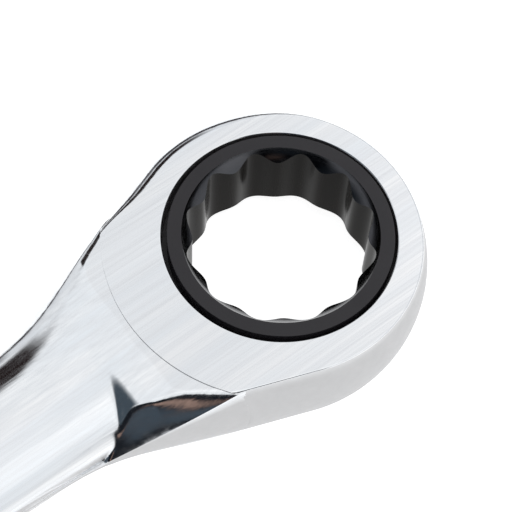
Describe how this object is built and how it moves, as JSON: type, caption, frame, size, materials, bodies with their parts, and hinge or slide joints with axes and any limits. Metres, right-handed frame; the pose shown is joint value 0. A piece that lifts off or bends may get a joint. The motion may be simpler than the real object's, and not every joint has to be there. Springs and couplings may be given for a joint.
{
  "type": "ratcheting combination wrench",
  "caption": "Combination wrench with a ratcheting twelve-point ring at one end and a fixed open jaw, turned fifteen degrees, at the other.",
  "frame": {"origin": "middle of the wrench's outline, on the plane of the ring's reverse face", "axes": "+X along the shank towards the open jaw, +Z along the ring's axis out of its front face, ring at -X"},
  "size_m": [0.248, 0.0404, 0.011],
  "materials": {
    "polished_steel": "bright plated steel, lightly brushed along the shank",
    "black_steel": "satin black oxide",
    "spring_steel": "drawn steel wire"
  },
  "bodies": {
    "wrench": {"wrench_body": "polished_steel", "snap_ring": "black_steel", "lower_pawl_spring": "spring_steel", "upper_pawl_spring": "spring_steel"},
    "gear": {"ratchet_gear": "black_steel"},
    "lower_pawl": {"lower_pawl": "black_steel", "lower_plunger": "spring_steel"},
    "upper_pawl": {"upper_pawl": "black_steel", "upper_plunger": "spring_steel"}
  },
  "joints": [
    {"name": "gear_spin", "type": "hinge", "parent": "wrench", "child": "gear", "pos_m": [-0.1078, -0.00021, 0.0055], "axis": [0, 0, 1], "continuous": true},
    {"name": "lower_pawl_slide", "type": "slide", "parent": "wrench", "child": "lower_pawl", "axis": [1, 0, 0], "range_m": [0, 0.0009], "stiffness_N_per_m": 600, "springref_m": -0.0008, "deforming": ["lower_pawl_spring"]},
    {"name": "upper_pawl_slide", "type": "slide", "parent": "wrench", "child": "upper_pawl", "axis": [1, 0, 0], "range_m": [0, 0.0003], "stiffness_N_per_m": 600, "springref_m": -0.0014, "deforming": ["upper_pawl_spring"]}
  ]
}
